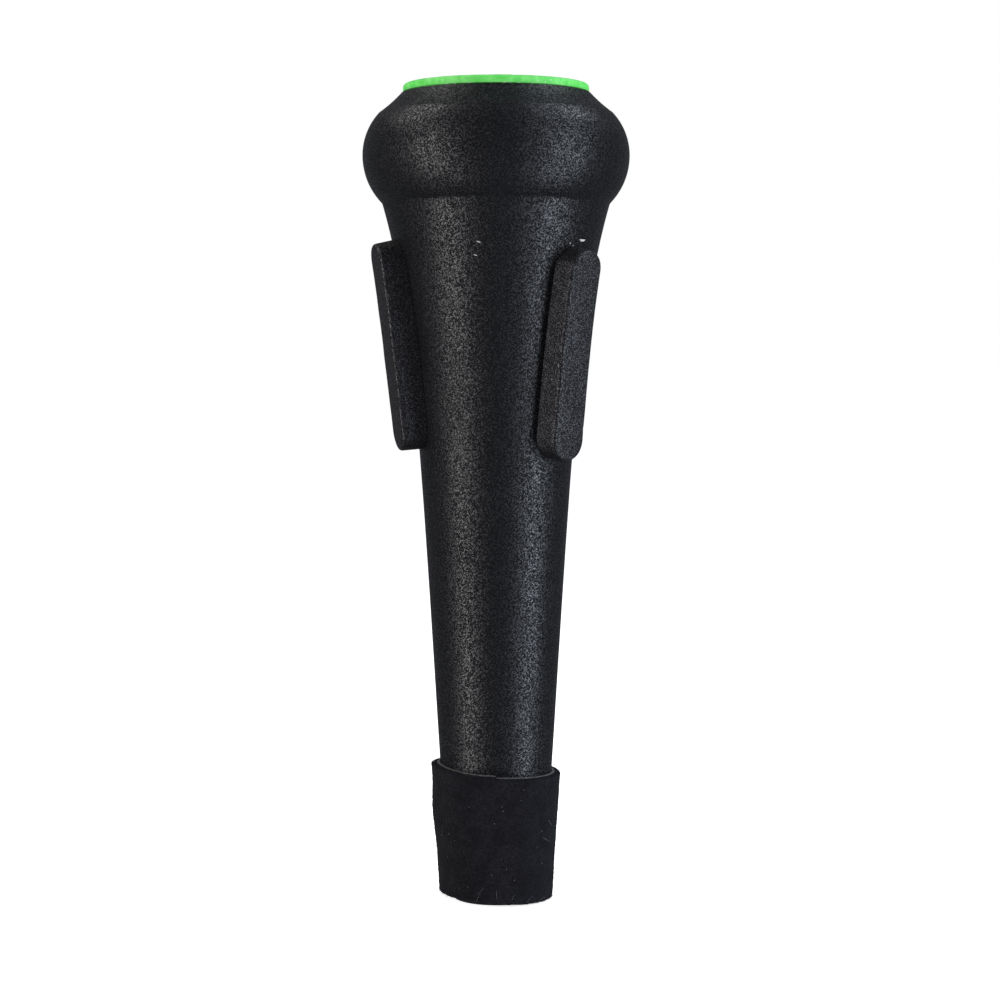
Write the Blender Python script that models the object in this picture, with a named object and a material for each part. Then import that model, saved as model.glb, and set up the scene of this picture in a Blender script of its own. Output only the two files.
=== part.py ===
"""Trumpet pixie mute: a hollow horn with a bulb, an end cap, three foam strips and a felt sleeve.

Run it with blender --background --python part.py, or from Blender's text editor. Units are metres
and +Z is up. The mute stands on its narrow end, and the origin is on the horn's axis at that end's
foot. -Y is the front, where the sleeve's seam is.
"""
import math

import bmesh
import bpy
from mathutils import Vector

MM = 0.001

# Horn: a straight taper that opens late into a flare
FOOT_RADIUS = 8.26 * MM
TAPER = 0.0613
FLARE_RISE = 3.87 * MM
FLARE_POWER = 7.0
WAIST_HEIGHT = 119.95 * MM
WAIST_FILLET = 1.2 * MM
WALL = 1.8 * MM
FOOT_CHAMFER = 0.35 * MM

# Bulb: swells from the waist, turns over a round shoulder and closes in to the rim
BULB_SWELL = 3.35 * MM
BULB_RISE = 8.1 * MM
RIM_RISE = 10.6 * MM
RIM_INSET = 6.7 * MM
SHOULDER_TURN = math.radians(40)
LIP_RISE = 3.45 * MM
MOUTH_WALL = 2.1 * MM
MOUTH_LAND = 2.2 * MM

# End cap: a flat disc with a hollow spigot that plugs the mouth
CAP_INSET = 0.5 * MM
CAP_THICKNESS = 1.2 * MM
CAP_EDGE = 0.4 * MM
SPIGOT_DEPTH = 2.4 * MM
SPIGOT_WALL = 1.4 * MM

# Foam strips: die-cut with round ends, bent along the flare
PAD_LENGTH = 35.8 * MM
PAD_WIDTH = 7.2 * MM
PAD_THICKNESS = 3.6 * MM
PAD_EDGE = 0.5 * MM
PAD_FIRST_TURN = math.radians(-44.5)
RIGHT_PAD_DROP = 7.7 * MM
LEFT_PAD_DROP = 6.2 * MM
BACK_PAD_DROP = 6.9 * MM

# Felt sleeve: a straight strip wrapped once round the neck, a little askew
SLEEVE_WIDTH = 21.8 * MM
SLEEVE_THICKNESS = 1.2 * MM
SLEEVE_EDGE = 0.25 * MM
SLEEVE_FOOT = 0.8 * MM
SLEEVE_TILT = math.radians(3.3)
SEAM_TURN = math.radians(-90)
SEAM_GAP = 0.3 * MM
SEAM_STEP = 0.25 * MM

# Clearance between pieces that are glued together
SEAT_GAP = 0.3 * MM

# How finely round shapes are cut
TURN_STEPS = 64
SCREW_MERGE = 0.00001
SMOOTH_ANGLE = math.radians(40)
FLARE_STEPS = 18
FLARE_CROWDING = 1.5
BORE_STEPS = 11
FILLET_STEPS = 2
ARC_STEPS = 6
LIP_STEPS = 3
EDGE_STEPS = 2
ROUND_PROFILE = 0.5
PAD_END_STEPS = 10
PAD_BENDS = 10
PAD_STRIPS = 4
SLEEVE_BENDS = 56
CUT_TOLERANCE = 0.000001


def clear_scene():
    """Removes every object that the scene starts with."""
    for item in list(bpy.data.objects):
        bpy.data.objects.remove(item, do_unlink=True)


def make_material(name, colour, roughness, metallic=0.0):
    """Returns a Principled material of one colour."""
    material = bpy.data.materials.new(name)
    material.use_nodes = True
    shader = material.node_tree.nodes["Principled BSDF"]
    shader.inputs["Base Color"].default_value = (*colour, 1.0)
    shader.inputs["Roughness"].default_value = roughness
    shader.inputs["Metallic"].default_value = metallic
    return material


def add_object(name, mesh, material):
    """Links a mesh to the scene as an object with one material."""
    mesh.materials.append(material)
    item = bpy.data.objects.new(name, mesh)
    bpy.context.scene.collection.objects.link(item)
    return item


def horn_radius(height):
    """Outside radius of the horn at a height between the foot and the waist."""
    return FOOT_RADIUS + TAPER * height + FLARE_RISE * (height / WAIST_HEIGHT) ** FLARE_POWER


def horn_slope(height):
    """Radius gained per height, the horn's slope."""
    return TAPER + FLARE_RISE * FLARE_POWER / WAIST_HEIGHT * (height / WAIST_HEIGHT) ** (FLARE_POWER - 1)


def horn_normal(height):
    """Unit vector (radius, height) that points out of the horn's surface."""
    return Vector((1.0, -horn_slope(height))).normalized()


def tangent_arc(start, heading, end, steps):
    """Points after start on the arc that leaves it along heading and ends at end."""
    side = Vector((-heading.y, heading.x))
    chord = end - start
    sweep = 2 * math.atan2(side.dot(chord), heading.dot(chord))
    radius = chord.length / (2 * math.sin(sweep / 2))
    points = []
    for step in range(1, steps + 1):
        angle = sweep * step / steps
        points.append(start + radius * (heading * math.sin(angle) + side * (1 - math.cos(angle))))
    return points


WAIST = Vector((horn_radius(WAIST_HEIGHT), WAIST_HEIGHT))
WIDEST = WAIST + Vector((BULB_SWELL, BULB_RISE))
RIM = WIDEST + Vector((-RIM_INSET, RIM_RISE))
MOUTH_RADIUS = RIM.x - MOUTH_WALL
CAP_SEAT_HEIGHT = RIM.y + SEAT_GAP


def bulb_curve():
    """Outside of the bulb from the waist to the rim, as (radius, height) points."""
    up = Vector((0.0, 1.0))
    swell = tangent_arc(WIDEST, -up, WAIST, ARC_STEPS)
    shoulder_radius = (RIM_RISE - LIP_RISE) / math.sin(SHOULDER_TURN)
    shoulder_end = WIDEST + shoulder_radius * Vector(
        (math.cos(SHOULDER_TURN) - 1, math.sin(SHOULDER_TURN)))
    shoulder = tangent_arc(WIDEST, up, shoulder_end, ARC_STEPS)
    shoulder_heading = Vector((-math.sin(SHOULDER_TURN), math.cos(SHOULDER_TURN)))
    lip = tangent_arc(shoulder_end, shoulder_heading, RIM, LIP_STEPS)
    return swell[::-1] + [WIDEST] + shoulder + lip


def soften_corner(before, corner, after, radius):
    """Points of the fillet that rounds a corner between two lines."""
    incoming = (corner - before).normalized()
    outgoing = (after - corner).normalized()
    turn = incoming.angle(outgoing)
    reach = min(radius * math.tan(turn / 2), (corner - before).length / 2, (after - corner).length / 2)
    start = corner - incoming * reach
    return [start] + tangent_arc(start, incoming, corner + outgoing * reach, FILLET_STEPS)


def offset_inwards(points):
    """Moves a curve, given from foot to rim, into the wall by its thickness."""
    moved = []
    for index, point in enumerate(points):
        before = points[max(index - 1, 0)]
        after = points[min(index + 1, len(points) - 1)]
        along = (after - before).normalized()
        moved.append(point + WALL * Vector((-along.y, along.x)))
    return moved


def outer_curve(steps):
    """Outside of the horn and bulb from the foot to the rim."""
    horn = []
    for step in range(steps):
        height = WAIST_HEIGHT * (1 - (1 - step / steps) ** FLARE_CROWDING)
        horn.append(Vector((horn_radius(height), height)))
    bulb = bulb_curve()
    fillet = soften_corner(horn[-1], bulb[0], bulb[1], WAIST_FILLET)
    return horn + fillet + bulb[1:]


def body_profile():
    """Closed section of the shell: down its outside, round the foot and up its bore."""
    outside = outer_curve(FLARE_STEPS)
    foot = outside[0]
    chamfer_top = Vector((horn_radius(FOOT_CHAMFER), FOOT_CHAMFER))
    outside = [foot - Vector((FOOT_CHAMFER, 0.0)), chamfer_top] + outside[1:]
    land_foot = RIM.y - MOUTH_LAND
    bore = [point for point in offset_inwards(outer_curve(BORE_STEPS)) if point.y < land_foot]
    bore[0] = Vector((FOOT_RADIUS - WALL, 0.0))
    ledge = Vector((bore[-1].x, land_foot))
    mouth = [ledge, Vector((MOUTH_RADIUS, land_foot)), Vector((MOUTH_RADIUS, RIM.y))]
    return outside[::-1] + bore + mouth


def turn_profile(name, points, closed, material):
    """Turns a section of (radius, height) points once round the Z axis with a Screw modifier."""
    mesh = bpy.data.meshes.new(name)
    edges = [(index, index + 1) for index in range(len(points) - 1)]
    if closed:
        edges.append((len(points) - 1, 0))
    mesh.from_pydata([(point.x, 0.0, point.y) for point in points], edges, [])
    item = add_object(name, mesh, material)
    screw = item.modifiers.new("turn", "SCREW")
    screw.steps = TURN_STEPS
    screw.render_steps = TURN_STEPS
    screw.use_merge_vertices = True
    screw.merge_threshold = SCREW_MERGE
    screw.use_smooth_shade = True
    return item


def build_body(material):
    """The hollow horn with its bulb, open at the foot and at the mouth."""
    return turn_profile("body_shell", body_profile(), True, material)


def build_cap(material):
    """The disc that closes the mouth, with its spigot inside the mouth's land."""
    underside = CAP_SEAT_HEIGHT
    top = underside + CAP_THICKNESS
    rim = RIM.x - CAP_INSET
    spigot = MOUTH_RADIUS - SEAT_GAP
    spigot_foot = underside - SPIGOT_DEPTH
    section = [
        Vector((0.0, top)),
        Vector((rim - CAP_EDGE, top)),
        Vector((rim - CAP_EDGE * (1 - math.sqrt(0.5)), top - CAP_EDGE * (1 - math.sqrt(0.5)))),
        Vector((rim, top - CAP_EDGE)),
        Vector((rim, underside)),
        Vector((spigot, underside)),
        Vector((spigot, spigot_foot)),
        Vector((spigot - SPIGOT_WALL, spigot_foot)),
        Vector((spigot - SPIGOT_WALL, underside)),
        Vector((0.0, underside)),
    ]
    return turn_profile("end_cap", section, False, material)


def cut_at(shape, axis, place):
    """Cuts a mesh right through at a plane, so that it can bend there."""
    where = Vector((0.0, 0.0, 0.0))
    where[axis] = place
    normal = Vector((0.0, 0.0, 0.0))
    normal[axis] = 1.0
    everything = shape.verts[:] + shape.edges[:] + shape.faces[:]
    bmesh.ops.bisect_plane(shape, geom=everything, dist=CUT_TOLERANCE, plane_co=where, plane_no=normal)


def cut_blank(outline, thickness, edge):
    """A flat blank of sheet material, from z = 0 up, with its upper edge rounded."""
    shape = bmesh.new()
    corners = [shape.verts.new((x, y, 0.0)) for x, y in outline]
    sheet = shape.faces.new(corners)
    lifted = bmesh.ops.extrude_face_region(shape, geom=[sheet])
    top_corners = [piece for piece in lifted["geom"] if isinstance(piece, bmesh.types.BMVert)]
    bmesh.ops.translate(shape, verts=top_corners, vec=(0.0, 0.0, thickness))
    raised = set(top_corners)
    rim = [line for line in shape.edges if line.verts[0] in raised and line.verts[1] in raised]
    bmesh.ops.bevel(shape, geom=rim, offset=edge, segments=EDGE_STEPS, profile=ROUND_PROFILE, affect="EDGES")
    bmesh.ops.recalc_face_normals(shape, faces=shape.faces[:])
    return shape


def finish_blank(name, shape, bend, material):
    """Moves each point of a blank to its bent place and makes the object."""
    for corner in shape.verts:
        corner.co = bend(corner.co)
    mesh = bpy.data.meshes.new(name)
    shape.to_mesh(mesh)
    shape.free()
    mesh.shade_smooth()
    mesh.set_sharp_from_angle(angle=SMOOTH_ANGLE)
    return add_object(name, mesh, material)


def pad_outline():
    """Outline of a foam strip: straight sides along Y and half-round ends."""
    radius = PAD_WIDTH / 2
    reach = PAD_LENGTH / 2 - radius
    outline = []
    for sign in (1, -1):
        for step in range(PAD_END_STEPS + 1):
            angle = math.pi * step / PAD_END_STEPS
            outline.append((sign * radius * math.cos(angle), sign * (reach + radius * math.sin(angle))))
    return outline


def build_pad(name, turn, drop, material):
    """One foam strip, glued to the flare at a turn round the axis, its end a drop below the waist."""
    shape = cut_blank(pad_outline(), PAD_THICKNESS, PAD_EDGE)
    for step in range(1, PAD_STRIPS):
        cut_at(shape, 0, PAD_WIDTH * (step / PAD_STRIPS - 0.5))
    for step in range(1, PAD_BENDS):
        cut_at(shape, 1, PAD_LENGTH * (step / PAD_BENDS - 0.5))
    middle = WAIST_HEIGHT - drop - PAD_LENGTH / 2

    def bend(place):
        """Follows the flare along the strip and the horn's roundness on the glued side."""
        height = middle + place.y * math.cos(math.atan(horn_slope(middle)))
        radius = horn_radius(height)
        normal = horn_normal(height)
        hollow = radius - math.sqrt(radius * radius - place.x * place.x)
        lift = SEAT_GAP + place.z
        outward = radius + normal.x * lift - hollow * (1 - place.z / PAD_THICKNESS)
        return Vector((outward, place.x, height + normal.y * lift))

    pad = finish_blank(name, shape, bend, material)
    pad.rotation_euler.z = turn
    return pad


def build_sleeve(material):
    """The felt strip wrapped round the neck, its two ends meeting at the seam."""
    wrapped_radius = horn_radius(SLEEVE_FOOT + SLEEVE_WIDTH / 2) + SEAT_GAP
    length = math.tau * wrapped_radius - SEAM_GAP
    outline = [(0.0, 0.0), (length, 0.0), (length, SLEEVE_WIDTH), (0.0, SLEEVE_WIDTH)]
    shape = cut_blank(outline, SLEEVE_THICKNESS, SLEEVE_EDGE)
    for step in range(1, SLEEVE_BENDS):
        cut_at(shape, 0, length * step / SLEEVE_BENDS)

    def wrap(place):
        """Rolls the strip round the neck, lower on the right, with a step at the seam."""
        angle = SEAM_TURN + (place.x + SEAM_GAP / 2) / wrapped_radius
        askew = -math.tan(SLEEVE_TILT) * math.cos(angle) * wrapped_radius
        step = SEAM_STEP * (place.x / length - 0.5)
        height = SLEEVE_FOOT + place.y + askew + step
        normal = horn_normal(height)
        lift = SEAT_GAP + place.z
        outward = horn_radius(height) + normal.x * lift
        return Vector((outward * math.cos(angle), outward * math.sin(angle), height + normal.y * lift))

    return finish_blank("neck_sleeve", shape, wrap, material)


def build_mute():
    """Builds the six pieces of the mute."""
    clear_scene()
    grained_black = make_material("grained_black", (0.012, 0.012, 0.014), 0.45)
    cap_green = make_material("cap_green", (0.08, 0.70, 0.09), 0.5)
    foam_black = make_material("foam_black", (0.018, 0.018, 0.021), 0.9)
    felt_black = make_material("felt_black", (0.010, 0.010, 0.013), 1.0)
    build_body(grained_black)
    build_cap(cap_green)
    pads = [
        ("foam_pad_right", RIGHT_PAD_DROP),
        ("foam_pad_back", BACK_PAD_DROP),
        ("foam_pad_left", LEFT_PAD_DROP),
    ]
    for index, (name, drop) in enumerate(pads):
        build_pad(name, PAD_FIRST_TURN + math.tau * index / len(pads), drop, foam_black)
    build_sleeve(felt_black)


build_mute()
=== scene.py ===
"""Dresses the trumpet pixie mute: fine meshes, finishes, floor, light and camera round its solids.

Everything is in metres with +Z up, in the frame of the solids: the mute stands on its narrow end,
with the foot of its axis at the origin and the seam of its sleeve towards -Y, where the camera is.
"""
from __future__ import annotations

import logging
import math
import random
from collections.abc import Callable, Sequence
from dataclasses import dataclass, field
from enum import Enum

import bmesh
import bpy
from mathutils import Matrix, Vector, noise
from mathutils.bvhtree import BVHTree

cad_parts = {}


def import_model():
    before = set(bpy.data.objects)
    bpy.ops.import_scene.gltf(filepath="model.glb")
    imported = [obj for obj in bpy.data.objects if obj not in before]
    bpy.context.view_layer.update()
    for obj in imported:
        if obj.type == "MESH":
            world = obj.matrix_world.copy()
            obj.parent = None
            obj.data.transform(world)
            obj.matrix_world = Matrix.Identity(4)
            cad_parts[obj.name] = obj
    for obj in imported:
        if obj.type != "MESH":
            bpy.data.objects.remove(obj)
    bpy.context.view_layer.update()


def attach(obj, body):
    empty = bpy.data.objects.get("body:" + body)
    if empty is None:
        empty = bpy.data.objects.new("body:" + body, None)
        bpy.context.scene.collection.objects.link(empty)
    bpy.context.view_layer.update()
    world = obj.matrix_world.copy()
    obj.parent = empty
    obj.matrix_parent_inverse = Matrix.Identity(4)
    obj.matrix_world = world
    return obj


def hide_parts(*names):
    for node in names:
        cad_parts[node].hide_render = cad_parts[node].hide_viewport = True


MM = 0.001
BODY = "root"
LOG = logging.getLogger("mute")

Colour = tuple[float, float, float]
Profile = list[Vector]


class Slot(Enum):
    """Material slots of the record, by name. No piece here takes its finish through them."""

    GRAINED_BLACK = "grained_black"
    CAP_GREEN = "cap_green"
    FOAM_BLACK = "foam_black"
    FELT_BLACK = "felt_black"


class Held(Enum):
    """How a sheet of cloth is kept in place."""

    STRETCHED = "stretched"


class Socket(Enum):
    """Kinds of socket that a shader group has."""

    NUMBER = "NodeSocketFloat"
    PLACE = "NodeSocketVector"


def wander(place: Vector, size: float, seed: float) -> float:
    """Gives a smooth random number from -1 to 1 that changes over a distance.

    Args:
        place: Where the number is wanted.
        size: Distance over which it changes.
        seed: Picks one of many patterns.

    Returns:
        The number at that place.
    """
    return noise.noise(place / size + Vector((seed, -seed, 2 * seed)))


def tangent_arc(start: Vector, heading: Vector, end: Vector, steps: int) -> Profile:
    """Finds the arc that leaves a point along a heading and ends at another point.

    Args:
        start: First point, which isn't returned.
        heading: Unit vector along which the arc leaves it.
        end: Last point.
        steps: Number of points.

    Returns:
        The points after start.
    """
    side = Vector((-heading.y, heading.x))
    chord = end - start
    sweep = 2 * math.atan2(side.dot(chord), heading.dot(chord))
    radius = chord.length / (2 * math.sin(sweep / 2))
    points = []
    for step in range(1, steps + 1):
        angle = sweep * step / steps
        points.append(start + radius * (heading * math.sin(angle) + side * (1 - math.cos(angle))))
    return points


@dataclass
class Shape:
    """Points and faces of a mesh while it is being made."""

    points: list[Vector] = field(default_factory=list)
    faces: list[tuple[int, ...]] = field(default_factory=list)
    finish_of_face: list[int] = field(default_factory=list)

    def add_face(self, corners: Sequence[int], finish: int = 0) -> None:
        """Adds a face, with the number of its finish.

        Args:
            corners: Numbers of its points, in order.
            finish: Which of the object's materials it shows.
        """
        self.faces.append(tuple(corners))
        self.finish_of_face.append(finish)

    def add_ring(self, ring: Sequence[Vector]) -> list[int]:
        """Adds a ring of points and returns their numbers."""
        first = len(self.points)
        self.points.extend(ring)
        return list(range(first, first + len(ring)))

    def join_rings(self, low: Sequence[int], high: Sequence[int], closed: bool = True, finish: int = 0) -> None:
        """Joins two rings of as many points with four-sided faces.

        Args:
            low: Numbers of the first ring's points.
            high: Numbers of the second ring's points.
            closed: Whether the last point is joined to the first.
            finish: Which of the object's materials the faces show.
        """
        count = len(low)
        for index in range(count if closed else count - 1):
            after = (index + 1) % count
            self.add_face((low[index], low[after], high[after], high[index]), finish)

    def make(self, name: str, finishes: Sequence[bpy.types.Material], sharp: float = 45.0) -> bpy.types.Object:
        """Makes the object, with its faces pointing out and shaded smooth.

        Args:
            name: Name of the piece.
            finishes: Its materials.
            sharp: Angle in degrees past which an edge stays sharp.

        Returns:
            The object, linked to the scene.
        """
        mesh = bpy.data.meshes.new(name)
        mesh.from_pydata(self.points, [], self.faces)
        mesh.polygons.foreach_set("material_index", self.finish_of_face)
        for finish in finishes:
            mesh.materials.append(finish)
        cleaned = bmesh.new()
        cleaned.from_mesh(mesh)
        bmesh.ops.remove_doubles(cleaned, verts=cleaned.verts[:], dist=0.0001 * MM)
        bmesh.ops.recalc_face_normals(cleaned, faces=cleaned.faces[:])
        cleaned.to_mesh(mesh)
        cleaned.free()
        mesh.shade_smooth()
        mesh.set_sharp_from_angle(angle=math.radians(sharp))
        item = bpy.data.objects.new(name, mesh)
        bpy.context.scene.collection.objects.link(item)
        return item


def turned(profile: Profile, steps: int, closed: bool, swell: Callable[[Vector], Vector]) -> Shape:
    """Turns a section round the Z axis.

    Args:
        profile: Points of the section, as (radius, height).
        steps: Number of points in each ring.
        closed: Whether the last point of the section joins the first.
        swell: Moves each point of the turned surface to its final place.

    Returns:
        The turned shape.
    """
    shape = Shape()
    rings = []
    for point in profile:
        ring = []
        for step in range(steps):
            angle = math.tau * step / steps
            ring.append(swell(Vector((point.x * math.cos(angle), point.x * math.sin(angle), point.y))))
        rings.append(shape.add_ring(ring))
    for low, high in zip(rings, rings[1:]):
        shape.join_rings(low, high)
    if closed:
        shape.join_rings(rings[-1], rings[0])
    return shape


@dataclass(frozen=True)
class HornForm:
    """Outside of the horn and bulb, with the sizes that the solids have."""

    foot_radius: float = 8.26 * MM
    taper: float = 0.0613
    flare_rise: float = 3.87 * MM
    flare_power: float = 7.0
    waist_height: float = 119.95 * MM
    waist_fillet: float = 1.2 * MM
    wall: float = 1.8 * MM
    foot_chamfer: float = 0.9 * MM
    bulb_swell: float = 3.35 * MM
    bulb_rise: float = 8.1 * MM
    rim_rise: float = 10.6 * MM
    rim_inset: float = 6.7 * MM
    shoulder_turn: float = math.radians(43)
    lip_rise: float = 3.45 * MM
    lip_hollow: float = 0.13 * MM
    mouth_wall: float = 2.1 * MM
    mouth_land: float = 2.2 * MM

    def radius(self, height: float) -> float:
        """Outside radius at a height between the foot and the waist."""
        flare = (max(height, 0.0) / self.waist_height) ** self.flare_power
        return self.foot_radius + self.taper * height + self.flare_rise * flare

    def slope(self, height: float) -> float:
        """Radius gained per height there."""
        share = (max(height, 0.0) / self.waist_height) ** (self.flare_power - 1)
        return self.taper + self.flare_rise * self.flare_power / self.waist_height * share

    def normal(self, height: float) -> Vector:
        """Unit vector (radius, height) that points out of the horn there."""
        return Vector((1.0, -self.slope(height))).normalized()

    def waist(self) -> Vector:
        """Where the horn ends and the bulb begins, as (radius, height)."""
        return Vector((self.radius(self.waist_height), self.waist_height))

    def rim(self) -> Vector:
        """Outer corner of the mouth, as (radius, height)."""
        return self.waist() + Vector((self.bulb_swell - self.rim_inset, self.bulb_rise + self.rim_rise))

    def bulb(self, steps: int) -> Profile:
        """Finds the outside of the bulb.

        Args:
            steps: Number of points on each of its arcs.

        Returns:
            Its (radius, height) points from the waist to the rim.
        """
        up = Vector((0.0, 1.0))
        widest = self.waist() + Vector((self.bulb_swell, self.bulb_rise))
        swell = tangent_arc(widest, -up, self.waist(), steps)
        turn = self.shoulder_turn
        radius = (self.rim_rise - self.lip_rise) / math.sin(turn)
        end = widest + radius * Vector((math.cos(turn) - 1, math.sin(turn)))
        shoulder = tangent_arc(widest, up, end, steps)
        lip = []
        inward = Vector((-math.cos(turn), -math.sin(turn)))
        for step in range(1, steps + 1):
            share = step / steps
            lip.append(end.lerp(self.rim(), share) + inward * (4 * self.lip_hollow * share * (1 - share)))
        return swell[::-1] + [widest] + shoulder + lip

    def outside(self, steps: int) -> Profile:
        """Finds the whole outside from the foot to the rim.

        Args:
            steps: Number of points on the horn. Each arc of the bulb has a third as many.

        Returns:
            Its (radius, height) points.
        """
        horn = []
        for step in range(steps):
            height = self.waist_height * (1 - (1 - step / steps) ** 1.4)
            horn.append(Vector((self.radius(height), height)))
        bulb = self.bulb(max(steps // 3, 4))
        incoming = (bulb[0] - horn[-1]).normalized()
        outgoing = (bulb[1] - bulb[0]).normalized()
        reach = self.waist_fillet * math.tan(incoming.angle(outgoing) / 2)
        start = bulb[0] - incoming * reach
        fillet = tangent_arc(start, incoming, bulb[0] + outgoing * reach, 4)
        return horn + [start] + fillet + bulb[1:]

    def section(self, steps: int) -> Profile:
        """Finds the closed section of the shell, with its bore.

        Args:
            steps: Number of points on the horn's outside.

        Returns:
            Its (radius, height) points: down the outside and up the bore.
        """
        outside = self.outside(steps)
        foot = [
            Vector((self.foot_radius - self.foot_chamfer, 0.0)),
            Vector((self.radius(self.foot_chamfer), self.foot_chamfer)),
        ]
        land_foot = self.rim().y - self.mouth_land
        curve = self.outside(max(steps // 2, 8))
        bore = [Vector((self.foot_radius - self.wall, 0.0))]
        for index in range(1, len(curve) - 1):
            along = (curve[index + 1] - curve[index - 1]).normalized()
            moved = curve[index] + self.wall * Vector((-along.y, along.x))
            if moved.y < land_foot:
                bore.append(moved)
        mouth_radius = self.rim().x - self.mouth_wall
        mouth = [
            Vector((bore[-1].x, land_foot)),
            Vector((mouth_radius, land_foot)),
            Vector((mouth_radius, self.rim().y)),
        ]
        return outside[:0:-1] + foot[::-1] + bore + mouth


class Wires:
    """Adds nodes to a shader tree and joins them."""

    def __init__(self, tree: bpy.types.NodeTree) -> None:
        """Keeps the tree that the nodes go into."""
        self.tree = tree

    def add(self, kind: str, settings: dict[str, object] | None = None, **values: object) -> bpy.types.Node:
        """Adds a node.

        Args:
            kind: Blender's name for the kind of node.
            settings: Its options, by name.
            values: What goes into its inputs: a number or colour, or a socket to join. An underscore
                in a name stands for a space.

        Returns:
            The node.
        """
        node = self.tree.nodes.new(kind)
        for name, option in (settings or {}).items():
            setattr(node, name, option)
        for name, value in values.items():
            self.feed(node.inputs[name.replace("_", " ")], value)
        return node

    def feed(self, socket: bpy.types.NodeSocket, value: object) -> None:
        """Sets an input to a value, or joins a socket to it."""
        if isinstance(value, bpy.types.NodeSocket):
            self.tree.links.new(value, socket)
        else:
            socket.default_value = value

    def maths(self, operation: str, first: object, second: object) -> bpy.types.NodeSocket:
        """Works out one number from two.

        Args:
            operation: Blender's name for the sum.
            first: Number or socket.
            second: Number or socket.

        Returns:
            The socket with the result.
        """
        node = self.tree.nodes.new("ShaderNodeMath")
        node.operation = operation
        self.feed(node.inputs[0], first)
        self.feed(node.inputs[1], second)
        return node.outputs[0]

    def spread(self, value: bpy.types.NodeSocket, low: float, high: float, to: tuple[object, object]) -> bpy.types.NodeSocket:
        """Stretches a value smoothly from one range to another.

        Args:
            value: Socket with the value.
            low: Where its range starts.
            high: Where its range ends.
            to: The new range's two ends, as numbers or sockets.

        Returns:
            The socket with the stretched value.
        """
        node = self.tree.nodes.new("ShaderNodeMapRange")
        node.interpolation_type = "SMOOTHSTEP"
        self.feed(node.inputs["Value"], value)
        self.feed(node.inputs["From Min"], low)
        self.feed(node.inputs["From Max"], high)
        self.feed(node.inputs["To Min"], to[0])
        self.feed(node.inputs["To Max"], to[1])
        return node.outputs["Result"]

    def blend(self, share: bpy.types.NodeSocket, first: object, second: object) -> bpy.types.NodeSocket:
        """Mixes two colours.

        Args:
            share: Socket with the second colour's share.
            first: Colour or socket.
            second: Colour or socket.

        Returns:
            The socket with the mixed colour.
        """
        node = self.tree.nodes.new("ShaderNodeMix")
        node.data_type = "RGBA"
        self.feed(node.inputs[0], share)
        self.feed(node.inputs[6], first if isinstance(first, bpy.types.NodeSocket) else (*first, 1.0))
        self.feed(node.inputs[7], second if isinstance(second, bpy.types.NodeSocket) else (*second, 1.0))
        return node.outputs[2]


def new_group(name: str, inputs: Sequence[tuple[str, Socket, float]], outputs: Sequence[str]) -> bpy.types.NodeTree:
    """Makes an empty shader group.

    Args:
        name: Its name.
        inputs: Name, kind and first value of each input.
        outputs: Names of its outputs, which are all numbers.

    Returns:
        The group.
    """
    group = bpy.data.node_groups.new(name, "ShaderNodeTree")
    for label, kind, value in inputs:
        socket = group.interface.new_socket(name=label, in_out="INPUT", socket_type=kind.value)
        if kind is Socket.NUMBER:
            socket.default_value = value
    for label in outputs:
        group.interface.new_socket(name=label, in_out="OUTPUT", socket_type=Socket.NUMBER.value)
    return group


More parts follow.
